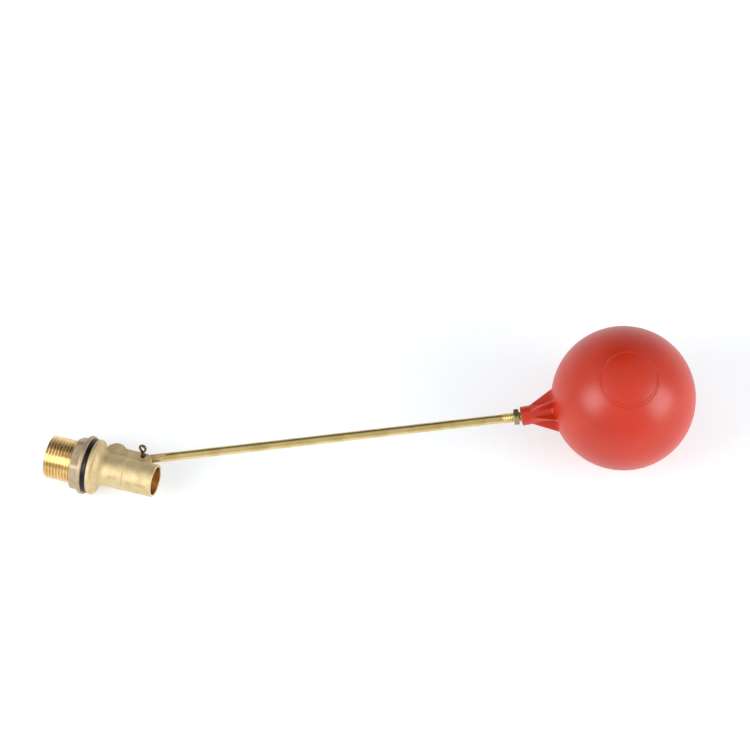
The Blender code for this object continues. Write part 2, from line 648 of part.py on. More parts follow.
def build():
    """Clears the scene and makes every piece of the valve."""
    for item in list(bpy.data.objects):
        bpy.data.objects.remove(item)
    cast_brass = material("cast_brass", (0.62, 0.45, 0.22), 0.45, 1.0)
    nut_brass = material("back_nut_brass", (0.48, 0.33, 0.20), 0.5, 1.0)
    rubber = material("black_rubber", (0.02, 0.018, 0.02), 0.4, 0.0)
    seal_rubber = material("seal_rubber", (0.03, 0.03, 0.03), 0.6, 0.0)
    turned_brass = material("turned_brass", (0.65, 0.44, 0.18), 0.3, 1.0)
    rod_brass = material("drawn_brass_rod", (0.68, 0.50, 0.20), 0.25, 1.0)
    pin_metal = material("split_pin_bronze", (0.25, 0.14, 0.06), 0.4, 1.0)
    nut_metal = material("lock_nut_brass", (0.32, 0.28, 0.14), 0.35, 1.0)
    insert_brass = material("insert_brass", (0.60, 0.42, 0.18), 0.3, 1.0)
    red_plastic = material("red_plastic", (0.60, 0.04, 0.02), 0.35, 0.0)

    pivot, bend = pivot_empties()
    valve_body(cast_brass)
    back_nut(nut_brass)
    flange_gasket(rubber)
    piston(turned_brass)
    piston_seal(seal_rubber)
    split_pin(pin_metal)
    hang([lever(rod_brass, pivot, bend), lock_nut(nut_metal, pivot)], pivot)
    hang([float_insert(insert_brass, bend), float_shell(red_plastic, bend)], bend)


build()
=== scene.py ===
# %% [markdown]
# # A brass float valve, from numpy surfaces
# A float valve lets water into a tank until the ball rises. This lesson builds what the eye sees
# of it around the CAD model, which stays as the frame. A size that the CAD model has too is the
# same here, and threads, grooves and marks are added to it. Shapes are worked out in millimetres
# and turned to metres when their mesh is made.

# %% Load the frame
import math

import bmesh
import bpy
import numpy as np
from mathutils import Matrix, Vector


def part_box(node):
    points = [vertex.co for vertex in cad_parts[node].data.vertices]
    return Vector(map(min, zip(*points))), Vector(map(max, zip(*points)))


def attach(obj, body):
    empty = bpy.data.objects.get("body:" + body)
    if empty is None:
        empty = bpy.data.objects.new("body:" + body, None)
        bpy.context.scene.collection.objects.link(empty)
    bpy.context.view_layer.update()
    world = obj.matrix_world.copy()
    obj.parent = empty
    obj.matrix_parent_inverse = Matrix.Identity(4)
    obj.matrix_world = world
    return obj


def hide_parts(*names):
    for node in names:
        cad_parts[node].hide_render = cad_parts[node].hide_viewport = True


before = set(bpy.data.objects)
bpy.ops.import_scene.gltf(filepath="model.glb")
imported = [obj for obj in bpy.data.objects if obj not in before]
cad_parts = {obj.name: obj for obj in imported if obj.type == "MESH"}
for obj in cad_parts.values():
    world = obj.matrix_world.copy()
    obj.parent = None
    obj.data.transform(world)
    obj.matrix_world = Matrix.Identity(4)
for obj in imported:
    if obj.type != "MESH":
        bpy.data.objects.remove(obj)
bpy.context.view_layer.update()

# %% [markdown]
# ## A surface from rows and columns
# Nearly every piece here was turned, cast or rolled, so it is a profile carried round or along
# something. Its points fit a table: a row for each place on the profile, a column for each step
# round it. Joining neighbours in the table gives the faces, with no list of faces to write.

# %% From a table of points to a mesh
MM = 0.001
WELD = 1e-7                   # points nearer than this, in metres, are one point


def surface(name, points, closed_rows=True):
    """A mesh from rows x columns x 3 points in millimetres.

    Columns always close on themselves. Rows close too if `closed_rows`; if not, the first and the
    last row each lie in one point, a pole. Welding merges the poles, and the normals are then
    turned outwards.
    """
    rows, columns = points.shape[:2]
    index = np.arange(rows * columns).reshape(rows, columns)
    if closed_rows:
        index = np.vstack([index, index[:1]])
    index = np.hstack([index, index[:, :1]])
    corners = [index[:-1, :-1], index[1:, :-1], index[1:, 1:], index[:-1, 1:]]
    faces = np.stack(corners, axis=-1).reshape(-1, 4)
    mesh = bpy.data.meshes.new(name)
    mesh.from_pydata((points.reshape(-1, 3) * MM).tolist(), [], faces.tolist())
    return welded(mesh)


def welded(mesh):
    """The same mesh with its doubles merged and its faces pointing outwards."""
    work = bmesh.new()
    work.from_mesh(mesh)
    bmesh.ops.remove_doubles(work, verts=work.verts, dist=WELD)
    bmesh.ops.recalc_face_normals(work, faces=work.faces)
    work.to_mesh(mesh)
    work.free()
    return mesh


def joined(name, meshes):
    """One mesh that holds several closed shells."""
    work = bmesh.new()
    for mesh in meshes:
        work.from_mesh(mesh)
    whole = bpy.data.meshes.new(name)
    work.to_mesh(whole)
    work.free()
    return whole


def piece(name, mesh, body, nodes, materials, sharp_deg=40.0):
    """Puts a finished mesh in the scene, smooth but for its sharp edges, riding on its body."""
    item = bpy.data.objects.new(name, mesh)
    bpy.context.scene.collection.objects.link(item)
    for material in materials:
        mesh.materials.append(material)
    mesh.polygons.foreach_set("use_smooth", np.ones(len(mesh.polygons), bool))
    mesh.set_sharp_from_angle(angle=math.radians(sharp_deg))
    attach(item, body)
    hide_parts(*nodes)
    print(f"{name}: {len(mesh.polygons)} faces")


# %% [markdown]
# ## Profiles
# A turned or cast profile is a chain of corners that are never quite sharp. Each corner is
# swapped for a short curve between a point before it and a point after it.

# %% Rounded profiles and turning
def rounded(corners, steps=6):
    """Closed chain of (along, across, size): each corner becomes a parabola between the points
    that lie `size` before and after it, (1-t)^2 A + 2t(1-t) C + t^2 B."""
    table = np.array(corners, float)
    at, size = table[:, :2], table[:, 2:]
    back, ahead = np.roll(at, 1, axis=0) - at, np.roll(at, -1, axis=0) - at
    start = at + back / np.linalg.norm(back, axis=1, keepdims=True) * size
    stop = at + ahead / np.linalg.norm(ahead, axis=1, keepdims=True) * size
    t = np.linspace(0.0, 1.0, steps)[None, :, None]
    curve = (1 - t) ** 2 * start[:, None] + 2 * t * (1 - t) * at[:, None] + t ** 2 * stop[:, None]
    return curve.reshape(-1, 2)


def turned(profile, angles, radius_of=None):
    """Revolves (along, radius) about the X axis: (a, r cos u, r sin u). `radius_of` may change
    the radii, and gets tables of a, r and u."""
    along, radius = profile[:, :1] + 0 * angles, profile[:, 1:] + 0 * angles
    turn = np.broadcast_to(angles, along.shape)
    if radius_of is not None:
        radius = radius_of(along, radius, turn)
    return np.stack([along, radius * np.cos(turn), radius * np.sin(turn)], axis=-1)


def placed(points, origin, degrees):
    """Turns points in the XY plane by `degrees`, then moves them to `origin` (x, y)."""
    cos, sin = math.cos(math.radians(degrees)), math.sin(math.radians(degrees))
    x, y, z = points[..., 0], points[..., 1], points[..., 2]
    return np.stack([origin[0] + x * cos - y * sin, origin[1] + x * sin + y * cos, z], axis=-1)


def smooth_step(value):
    """0 below 0, 1 above 1, and 3t^2 - 2t^3 between."""
    t = np.clip(value, 0.0, 1.0)
    return t * t * (3.0 - 2.0 * t)


def soft_max(a, b, blend):
    """The larger of two values, with the corner between them rounded over about `blend`."""
    return 0.5 * (a + b + np.sqrt((a - b) ** 2 + blend ** 2))


def circle(steps):
    """Angles once round, without the last, which is the first again."""
    return np.linspace(0.0, 2.0 * np.pi, steps, endpoint=False)


# %% [markdown]
# ## Colours and nodes
# Colours are written as they look on a screen (sRGB, in hex) and turned to the linear values
# that a shader works with. One helper adds a node, sets it and links it.

# %% Node helper
def linear(code):
    """sRGB hex to linear red, green, blue, alpha: v/12.92, or ((v+0.055)/1.055)^2.4."""
    values = [int(code[i:i + 2], 16) / 255.0 for i in (1, 3, 5)]
    return [v / 12.92 if v <= 0.04045 else ((v + 0.055) / 1.055) ** 2.4 for v in values] + [1.0]


def add_node(tree, kind, inputs, **settings):
    """Adds a node. An input given as a socket is linked, any other value is set on it."""
    node = tree.nodes.new("ShaderNode" + kind)
    for name, value in settings.items():
        setattr(node, name, value)
    for name, value in inputs.items():
        if isinstance(value, bpy.types.NodeSocket):
            tree.links.new(value, node.inputs[name])
        else:
            node.inputs[name].default_value = value
    return node


def new_material(name):
    """An empty node material: its tree, and where its patterns are measured, in metres."""
    material = bpy.data.materials.new(name)
    material.use_nodes = True
    tree = material.node_tree
    tree.nodes.clear()
    return material, tree, add_node(tree, "TexCoord", {}).outputs["Object"]


def set_ramp(node, stops):
    """Gives a colour ramp its (position, hex colour) stops."""
    ramp = node.color_ramp
    while len(ramp.elements) < len(stops):
        ramp.elements.new(0.5)
    for element, (position, code) in zip(ramp.elements, stops):
        element.position, element.color = position, linear(code)
    return node.outputs["Color"]


def per_mm(size):
    """Texture scale for a pattern whose features are `size` millimetres across."""
    return 1.0 / (size * MM)


def finish_material(tree, inputs):
    """Ends a tree with its shader and output."""
    shader = add_node(tree, "BsdfPrincipled", inputs)
    add_node(tree, "OutputMaterial", {"Surface": shader.outputs["BSDF"]})


# %% [markdown]
# ## Brass, in its finishes
# All the metal here is brass, but each piece was finished its own way. The casting is sand cast
# and tumbled, so it is a satin skin with a fine grain. The thread is cut afterwards and stays
# bright. Metal takes its colour from its reflections, so the colour is set on a fully metallic
# surface and the finish is in roughness and bump.

# %% Cast and tumbled brass
def cast_brass(name, light, dark, roughness, grain, depth):
    """Sand-cast brass: patches of tone a few millimetres wide, grain, and a pitted skin."""
    material, tree, at = new_material(name)
    patches = add_node(tree, "TexNoise", {"Vector": at, "Scale": per_mm(6.0), "Detail": 5.0,
                                          "Roughness": 0.6})
    tone = set_ramp(add_node(tree, "ValToRGB", {"Fac": patches.outputs["Fac"]}),
                    [(0.32, dark), (0.68, light)])
    skin = add_node(tree, "TexNoise", {"Vector": at, "Scale": per_mm(grain), "Detail": 4.0,
                                       "Roughness": 0.65})
    dull = add_node(tree, "MapRange", {"Value": skin.outputs["Fac"], "To Min": roughness - 0.08,
                                       "To Max": roughness + 0.08})
    bump = add_node(tree, "Bump", {"Height": skin.outputs["Fac"], "Strength": 0.55,
                                   "Distance": depth * MM})
    finish_material(tree, {"Base Color": tone, "Metallic": 1.0, "Roughness": dull.outputs[0],
                           "Normal": bump.outputs["Normal"]})
    return material


body_brass = cast_brass("sand_cast_brass", "#E7D5A9", "#D2BD90", 0.63, 0.9, 0.26)
nut_brass = cast_brass("tumbled_pink_brass", "#D0BC9E", "#B8A486", 0.58, 1.0, 0.22)


# %% Cut and drawn brass
def worked_brass(name, light, dark, roughness, squeeze, depth):
    """Turned or drawn brass: tool marks, drawn out along or across by `squeeze` (x, y, z)."""
    material, tree, at = new_material(name)
    stretched = add_node(tree, "Mapping", {"Vector": at, "Scale": squeeze})
    marks = add_node(tree, "TexNoise", {"Vector": stretched.outputs[0], "Scale": per_mm(1.0),
                                        "Detail": 3.0})
    tarnish = add_node(tree, "TexNoise", {"Vector": at, "Scale": per_mm(9.0), "Detail": 4.0})
    tone = set_ramp(add_node(tree, "ValToRGB", {"Fac": tarnish.outputs["Fac"]}),
                    [(0.35, dark), (0.62, light)])
    dull = add_node(tree, "MapRange", {"Value": marks.outputs["Fac"], "To Min": roughness - 0.05,
                                       "To Max": roughness + 0.07})
    bump = add_node(tree, "Bump", {"Height": marks.outputs["Fac"], "Strength": 0.35,
                                   "Distance": depth * MM})
    finish_material(tree, {"Base Color": tone, "Metallic": 1.0, "Roughness": dull.outputs[0],
                           "Normal": bump.outputs["Normal"]})
    return material


thread_brass = worked_brass("cut_thread_brass", "#EED39C", "#DCBA7A", 0.16, (0.3, 0.1, 0.1), 0.0)
bore_brass = worked_brass("bored_brass", "#E2BF90", "#C09A68", 0.3, (2.0, 0.15, 0.15), 0.01)
turned_brass = worked_brass("turned_brass", "#E8C884", "#D2AC64", 0.25, (2.0, 0.2, 0.2), 0.02)
milled_brass = worked_brass("milled_brass", "#F0D6A0", "#E0C084", 0.55, (0.2, 1.0, 1.0), 0.02)
rod_brass = worked_brass("drawn_brass_rod", "#E8D092", "#D6BA78", 0.3, (0.1, 0.3, 1.0), 0.003)
lock_nut_brass = worked_brass("tarnished_brass", "#B8A67E", "#988660", 0.34, (1.0, 1.0, 1.0), 0.04)
pin_bronze = worked_brass("dark_bronze_wire", "#8A6C4C", "#58432C", 0.33, (1.0, 1.0, 0.2), 0.01)


# %% Rubber and red plastic
def rubber(name, light, dark, roughness):
    """Moulded rubber: nearly black, a little shine, and a faint bloom in patches."""
    material, tree, at = new_material(name)
    bloom = add_node(tree, "TexNoise", {"Vector": at, "Scale": per_mm(3.0), "Detail": 6.0})
    tone = set_ramp(add_node(tree, "ValToRGB", {"Fac": bloom.outputs["Fac"]}),
                    [(0.35, dark), (0.75, light)])
    bump = add_node(tree, "Bump", {"Height": bloom.outputs["Fac"], "Strength": 0.3,
                                   "Distance": 0.05 * MM})
    finish_material(tree, {"Base Color": tone, "Roughness": roughness,
                           "Normal": bump.outputs["Normal"]})
    return material


gasket_rubber = rubber("moulded_black_rubber", "#191718", "#0D0C0D", 0.3)
seal_rubber = rubber("seal_rubber", "#3C3A3A", "#242222", 0.6)


def moulded_plastic(name, light, dark, roughness):
    """Blow-moulded plastic: even colour with slow clouds, and the orange peel of its mould."""
    material, tree, at = new_material(name)
    clouds = add_node(tree, "TexNoise", {"Vector": at, "Scale": per_mm(30.0), "Detail": 3.0})
    tone = set_ramp(add_node(tree, "ValToRGB", {"Fac": clouds.outputs["Fac"]}),
                    [(0.35, dark), (0.65, light)])
    peel = add_node(tree, "TexNoise", {"Vector": at, "Scale": per_mm(1.6), "Detail": 2.0})
    dull = add_node(tree, "MapRange", {"Value": peel.outputs["Fac"], "To Min": roughness - 0.04,
                                       "To Max": roughness + 0.05})
    bump = add_node(tree, "Bump", {"Height": peel.outputs["Fac"], "Strength": 0.25,
                                   "Distance": 0.08 * MM})
    finish_material(tree, {"Base Color": tone, "Roughness": dull.outputs[0],
                           "Specular IOR Level": 0.58, "Normal": bump.outputs["Normal"]})
    return material


red_plastic = moulded_plastic("red_polypropylene", "#C83010", "#BE2A0A", 0.36)

# %% [markdown]
# ## The casting
# The shank, flange, barrel and lugs are one sand casting. Its outside is turned about the bore's
# axis except where two lugs rise for the lever, so the table's rows follow the whole profile,
# outside and back through the bore, and its columns go round. The columns crowd together where
# the walls of the lugs are steep. There the height is lifted from the barrel to the lug.

# %% Columns round the casting
BARREL_RADIUS, BORE_RADIUS, INLET_RADIUS = 10.1, 8.6, 9.0
LUG_EDGE, LUG_DRAFT = 5.15, 0.5         # half width at the lug's foot, and how far its side leans
SLOT_EDGE, SLOT_DRAFT = 2.35, 0.3
half_width = np.concatenate([
    np.linspace(8.6, 5.4, 9), np.linspace(5.25, 4.6, 9), np.linspace(4.4, 2.5, 7),
    np.linspace(2.38, 2.02, 8), np.linspace(1.8, 0.0, 5)])
lug_angles = np.arcsin(half_width / BARREL_RADIUS)
side_angles = np.linspace(np.pi, lug_angles[0], 46)[:-1]
half_round = np.concatenate([side_angles, lug_angles])
round_angles = np.concatenate([half_round, -half_round[-2:0:-1]])
print("columns round the casting:", len(round_angles))

# %% The profile from the inlet, over the outside, and back through the bore
INLET, OUTLET = -28.4, 39.8
FLANGE_RADIUS, FLANGE_BACK, SHOULDER = 17.0, 2.6, 6.0
THREAD_PITCH, THREAD_DEPTH, SHANK_RADIUS = 2.0, 0.95, 13.2
CHAMFER_RADIUS = 12.5         # of the shank's end
thread_x = np.linspace(INLET, -0.02, 310)
thread_rows = np.column_stack([thread_x, np.full_like(thread_x, SHANK_RADIUS)])
flange_rows = rounded([(0.0, SHANK_RADIUS, 0.05), (0.0, FLANGE_RADIUS, 0.35),
                       (FLANGE_BACK, FLANGE_RADIUS, 0.95), (FLANGE_BACK, SHANK_RADIUS, 0.05)],
                      9)[9:27]
sweep = np.linspace(0.06, np.pi / 2, 26)
shoulder_rows = np.column_stack([FLANGE_BACK + SHOULDER * (1 - np.cos(sweep)),
                                 BARREL_RADIUS + SHOULDER * (1 - np.sin(sweep))])
barrel_x = np.unique(np.concatenate([
    np.linspace(FLANGE_BACK + SHOULDER + 0.3, OUTLET - 0.3, 104), np.linspace(23.4, 23.8, 6),
    np.linspace(33.4, 34.6, 7), np.linspace(20.3, 21.7, 9), np.linspace(35.7, 36.2, 4)]))
barrel_rows = np.column_stack([barrel_x, np.full_like(barrel_x, BARREL_RADIUS)])
WEB_FACE, WEB_BACK, SEAT_TIP = 1.5, 4.9, 6.0     # the wall across the bore and its raised seat
SEAT_RADIUS, ORIFICE_RADIUS = 4.3, 3.4
passage_rows = rounded([
    (OUTLET, BARREL_RADIUS, 0.2), (OUTLET, BORE_RADIUS, 0.25), (WEB_BACK, BORE_RADIUS, 0.3),
    (WEB_BACK, SEAT_RADIUS, 0.2), (SEAT_TIP, SEAT_RADIUS, 0.15), (SEAT_TIP, ORIFICE_RADIUS, 0.15),
    (WEB_FACE, ORIFICE_RADIUS, 0.15), (WEB_FACE, INLET_RADIUS, 0.4),
    (INLET, INLET_RADIUS, 0.3), (INLET, CHAMFER_RADIUS, 0.1)], 5)
casting_profile = np.vstack([thread_rows, flange_rows, shoulder_rows, barrel_rows, passage_rows])
print("rows along the casting:", len(casting_profile))


# %% The thread and the lugs
HUMP_X, HUMP_Y, HUMP_RADIUS = 11.3, 10.4, 6.6
EAR_X, EAR_Y, EAR_RADIUS = 29.6, 9.9, 4.6
STEEP = 8.0                   # fall of the lugs' ends, millimetres down for each one along
PARTING_X, PARTING_HEIGHT, PARTING_HALF = 21.0, 0.24, 0.25
SLOT_START, SLOT_END, SLOT_FLOOR = 23.45, 35.75, 9.35


def lug_top(x):
    """Height of the lugs along the bore: a round hump, a straight top and a round ear."""
    hump = HUMP_Y + np.sqrt(np.clip(HUMP_RADIUS ** 2 - (x - HUMP_X) ** 2, 0.0, None))
    hump -= STEEP * np.clip(np.abs(x - HUMP_X) - HUMP_RADIUS, 0.0, None)
    past_ear = np.clip(x - EAR_X, 0.0, None)
    ear = EAR_Y + np.sqrt(np.clip(EAR_RADIUS ** 2 - past_ear ** 2, 0.0, None))
    ear -= STEEP * (np.clip(x - EAR_X - EAR_RADIUS, 0.0, None) + np.clip(HUMP_X - x, 0.0, None))
    return soft_max(hump, ear, 0.5)


def casting_points():
    """The casting's table. The thread dips by depth ((1 - cos p)/2)^1.6, with p one turn in each
    pitch and once round; the lugs lift the height y of the columns between their sides."""
    x = casting_profile[:, :1] + 0.0 * round_angles
    radius = casting_profile[:, 1:] + 0.0 * round_angles
    turn = np.broadcast_to(round_angles, x.shape)
    outside = np.zeros(x.shape, bool)
    outside[len(thread_rows):len(thread_rows) + len(flange_rows) + len(shoulder_rows)
            + len(barrel_rows)] = True
    phase = 2.0 * np.pi * x / THREAD_PITCH + turn
    groove = (0.5 * (1.0 - np.cos(phase))) ** 1.6
    cut = radius - THREAD_DEPTH * groove * smooth_step((-x - 0.1) / 0.8)
    chamfer = CHAMFER_RADIUS + (x - INLET)
    is_thread = np.zeros(x.shape, bool)
    is_thread[:len(thread_rows)] = True
    radius = np.where(is_thread, np.minimum(cut, chamfer), radius)
    radius = radius + outside * PARTING_HEIGHT * np.exp(-((x - PARTING_X) / PARTING_HALF) ** 2)
    y, z = radius * np.cos(turn), radius * np.sin(turn)
    across = np.where(np.cos(turn) > 0.0, np.abs(BARREL_RADIUS * np.sin(turn)), BARREL_RADIUS)
    in_lug = smooth_step((LUG_EDGE - across) / LUG_DRAFT)
    rise = soft_max(lug_top(x) - y, 0.0, 0.4) - 0.02
    foot = 1.1 * np.exp(-np.clip(across - LUG_EDGE, 0.0, None) / 0.8) * np.clip(rise / 3, 0, 1)
    lifted = y + rise * in_lug + foot * (1.0 - in_lug)
    in_slot = smooth_step((SLOT_EDGE - across) / SLOT_DRAFT)
    in_slot *= smooth_step((x - SLOT_START) / 0.3) * (1.0 - smooth_step((x - SLOT_END) / 0.4))
    lifted = lifted + (np.minimum(lifted, SLOT_FLOOR) - lifted) * in_slot
    y = np.where(outside & (np.cos(turn) > 0.0) & (x > 4.0), lifted, y)
    return np.stack([x, y, z], axis=-1)


casting = surface("valve_body", casting_points())
print("casting faces:", len(casting.polygons))

# %% [markdown]
# ## Holes through the casting
# The finger's well and the holes for the pin go through the wall, which a table of rows and
# columns can't do. They were cut in the real one too, so here they are cut with a Boolean.


# %% Cutting the well and the pin's holes
def cut_away(mesh, cutters):
    """Takes each cutter's mesh away from the mesh, exactly, and gives the result back."""
    item = bpy.data.objects.new("being_cut", mesh)
    bpy.context.scene.collection.objects.link(item)
    helpers = []
    for cutter in cutters:
        helper = bpy.data.objects.new("cutter", cutter)
        bpy.context.scene.collection.objects.link(helper)
        step = item.modifiers.new("cut", "BOOLEAN")
        step.operation, step.solver, step.object = "DIFFERENCE", "EXACT", helper
        helpers.append(helper)
    bpy.context.view_layer.update()
    shaped = item.evaluated_get(bpy.context.evaluated_depsgraph_get())
    result = bpy.data.meshes.new_from_object(shaped)
    for helper in [item, *helpers]:
        bpy.data.objects.remove(helper)
    return result


def rod_shape(radius, low, high, centre, steps=32):
    """A plain round bar along Z at `centre` (x, y), closed at both ends."""
    ends = np.array([[low, 0.0], [low, radius], [high, radius], [high, 0.0]])
    bar = turned(ends, circle(steps))
    return np.stack([centre[0] + bar[..., 1], centre[1] + bar[..., 2], bar[..., 0]], axis=-1)


def block(low, high):
    """A box between two corners: four sides, each end closed to its middle."""
    square = np.array([[low[1], low[2]], [high[1], low[2]], [high[1], high[2]], [low[1], high[2]]])
    middle = np.repeat(square.mean(axis=0, keepdims=True), 4, axis=0)
    rings = [(low[0], middle), (low[0], square), (high[0], square), (high[0], middle)]
    return np.stack([np.column_stack([np.full(4, x), ring]) for x, ring in rings])


PIN_X, PIN_Y, PIN_HOLE_RADIUS = 28.2, 12.3, 1.7
WELL_LOW, WELL_HIGH = (23.75, 3.0, -1.95), (32.8, 12.0, 1.95)
well = surface("well_cutter", block(WELL_LOW, WELL_HIGH), False)
pin_hole = surface("pin_cutter", rod_shape(PIN_HOLE_RADIUS, -8.0, 8.0, (PIN_X, PIN_Y)), False)
casting = cut_away(casting, [well, pin_hole])
casting.name = "valve_body"

# %% [markdown]
# ## Raised marks
# The casting carries two rows of marks low on its barrel. Here they are plain bars.


# %% Raised marks on the cast skin
def mark_points(x, turn_deg, length, half_width=0.42, proud=0.5):
    """A bar raised on the barrel at `turn_deg` round it: a half-sunk bead whose radius is that
    of an ellipse over its length, sqrt(1 - s^2)."""
    share = np.concatenate([[-1.0], np.linspace(-0.97, 0.97, 11), [1.0]])[:, None]
    bead, fade = circle(10)[None, :], np.sqrt(1.0 - share ** 2) ** 0.5
    turn = math.radians(turn_deg) + share * length / 2.0 / BARREL_RADIUS
    radius = BARREL_RADIUS + proud * np.sin(bead) * fade
    return np.stack([x + half_width * np.cos(bead) * fade, radius * np.cos(turn),
                     radius * np.sin(turn)], axis=-1)


MARK_LENGTH, MARK_STEP = 1.9, 1.35
MARK_ROWS = ((24.0, 36.5, 148.0), (13.0, 17.5, 142.0))    # from x, to x, degrees round
marks = [surface("mark", mark_points(x, turn_deg, MARK_LENGTH), False)
         for start, stop, turn_deg in MARK_ROWS for x in np.arange(start, stop, MARK_STEP)]
casting = joined("valve_body", [casting, *marks])
print("raised marks:", len(marks))


# %% Which faces were machined
def face_places(mesh):
    """Every face's centre, in millimetres, and its normal."""
    centre, normal = np.zeros(len(mesh.polygons) * 3), np.zeros(len(mesh.polygons) * 3)
    mesh.polygons.foreach_get("center", centre)
    mesh.polygons.foreach_get("normal", normal)
    return centre.reshape(-1, 3) / MM, normal.reshape(-1, 3)


def machined_faces(mesh):
    """1 on the thread, 2 in the bores, and 0 on the cast skin."""
    centre, normal = face_places(mesh)
    radius = np.hypot(centre[:, 1], centre[:, 2])
    inward = (centre[:, 1] * normal[:, 1] + centre[:, 2] * normal[:, 2]) < 0.0
    bore = (radius < INLET_RADIUS + 0.05) & (inward | (centre[:, 0] < SEAT_TIP + 0.5))
    cut = (centre[:, 0] < 0.03) | (centre[:, 0] > OUTLET - 0.05)
    return np.where(bore, 2, np.where(cut, 1, 0)).astype(np.int32)


piece("cast_valve_body", casting, "valve", ["valve_body"],
      [body_brass, thread_brass, bore_brass])
casting.polygons.foreach_set("material_index", machined_faces(casting))

# %% [markdown]
# ## The back nut
# A cast hexagon with soft corners, turned down at its tips, with a round flange behind. Its
# radius round the axis is that of a hexagon, flat / cos(u), with u folded into one sixth of a
# turn, and it is held down by the turned corner and by the chamfer on its face.


# %% Back nut
def hexagon(flat, corner, chamfer_from, steepness, turn_by=0.0, soften=0.5):
    """A function for turned(): the smaller of the hexagon, the turned corner and the chamfer,
    which is `chamfer_from` (along, radius) and rises by `steepness`."""
    def radius_of(along, radius, turn):
        fold = (turn + turn_by + np.pi / 6) % (np.pi / 3) - np.pi / 6
        shape = -soft_max(-flat / np.cos(fold), -corner, soften)
        for start, edge in chamfer_from:
            shape = -soft_max(-shape, -(edge + steepness * np.abs(along - start)), 0.15)
        return np.where(radius > flat - 0.01, np.minimum(shape, radius), radius)
    return radius_of


NUT_FRONT, NUT_STEP, NUT_BACK = -11.1, -5.5, -3.0
NUT_BORE, NUT_OUTER, NUT_FLANGE = 13.5, 17.0, 18.1    # radii
nut_corners = rounded([
    (NUT_FRONT, NUT_BORE, 0.4), (NUT_FRONT, NUT_OUTER, 0.25), (NUT_STEP, NUT_OUTER, 0.1),
    (NUT_STEP, NUT_FLANGE, 0.7), (NUT_BACK, NUT_FLANGE, 0.7), (NUT_BACK, NUT_BORE, 0.3)], 7)
wall = np.column_stack([np.linspace(NUT_FRONT + 0.3, NUT_STEP - 0.2, 14), np.full(14, NUT_OUTER)])
nut_profile = np.vstack([nut_corners[:14], wall, nut_corners[14:]])
NUT_FLAT, NUT_CORNER, NUT_EDGE, NUT_TURN_DEG = 15.1, 16.9, 15.8, 21.6
hex_radius = hexagon(NUT_FLAT, NUT_CORNER, [(NUT_FRONT, NUT_EDGE)], 1.2,
                     math.radians(NUT_TURN_DEG), 0.6)


def nut_radius(along, radius, turn):
    """Hexagon in front of the flange, round behind."""
    in_front = (along < NUT_STEP - 0.05) & (radius > NUT_BORE + 0.5)
    return np.where(in_front, hex_radius(along, radius, turn), radius)


nut_mesh = surface("back_nut", turned(nut_profile, circle(144), nut_radius))
piece("cast_back_nut", nut_mesh, "back_nut", ["back_nut"], [nut_brass], 50.0)

# %% [markdown]
# ## The gasket
# A moulded rubber ring with two shallow grooves round its rim, so its profile is a rectangle
# with the grooves let into the outer side.

# %% Gasket
gasket_profile = rounded([
    (-2.7, 13.5, 0.2), (-2.7, 16.8, 0.3), (-2.15, 16.8, 0.08), (-2.05, 16.45, 0.08),
    (-1.85, 16.45, 0.08), (-1.75, 16.8, 0.08), (-1.2, 16.8, 0.08), (-1.1, 16.45, 0.08),
    (-0.9, 16.45, 0.08), (-0.8, 16.8, 0.08), (-0.3, 16.8, 0.15), (-0.3, 13.5, 0.2)], 5)
gasket_mesh = surface("flange_gasket", turned(gasket_profile, circle(160)))
piece("ribbed_gasket", gasket_mesh, "valve", ["flange_gasket"], [gasket_rubber])

# %% [markdown]
# ## The lever
# A drawn rod. Near the pin its sides are milled flat, and at the other end an M6 thread is
# rolled on it, whose crests stand a little above the rod. A round section is carried along a
# line that bends slightly before the ball; the section's radius is the thread's helix, and its
# width is clipped by the flats.

# %% The rod's line
ROD_DEG, END_DEG, BEND_AT = 22.3, 26.4, 230.5
ROD_RADIUS, TONGUE_HALF = 2.7, 1.9
FLAT_END, FLAT_SLANT, RUN_OUT = 11.7, 0.85, 3.0
ROD_THREAD_START, ROD_THREAD_RADIUS, ROD_THREAD_DEPTH, ROD_END = 219.5, 3.0, 0.24, 243.2
rod_steps = np.concatenate([np.linspace(1.6, 8.4, 9), np.linspace(8.7, 17.4, 48),
                            np.linspace(20.0, 217.0, 60), np.linspace(219.3, ROD_END, 340)])


def rod_line(distance):
    """Centre (x, y) and direction at distances from the pin: the direction turns smoothly from
    one angle to the other over 3 mm, and the centre is the running sum of its steps."""
    fine = np.linspace(0.0, 250.0, 5001)
    heading = ROD_DEG + (END_DEG - ROD_DEG) * smooth_step((fine - BEND_AT + 1.5) / 3.0)
    step = fine[1] - fine[0]
    across = np.radians(heading)
    x = PIN_X + np.concatenate([[0.0], np.cumsum(np.cos(across[:-1]) * step)])
    y = PIN_Y + np.concatenate([[0.0], np.cumsum(np.sin(across[:-1]) * step)])
    return (np.interp(distance, fine, x), np.interp(distance, fine, y),
            np.interp(distance, fine, across))


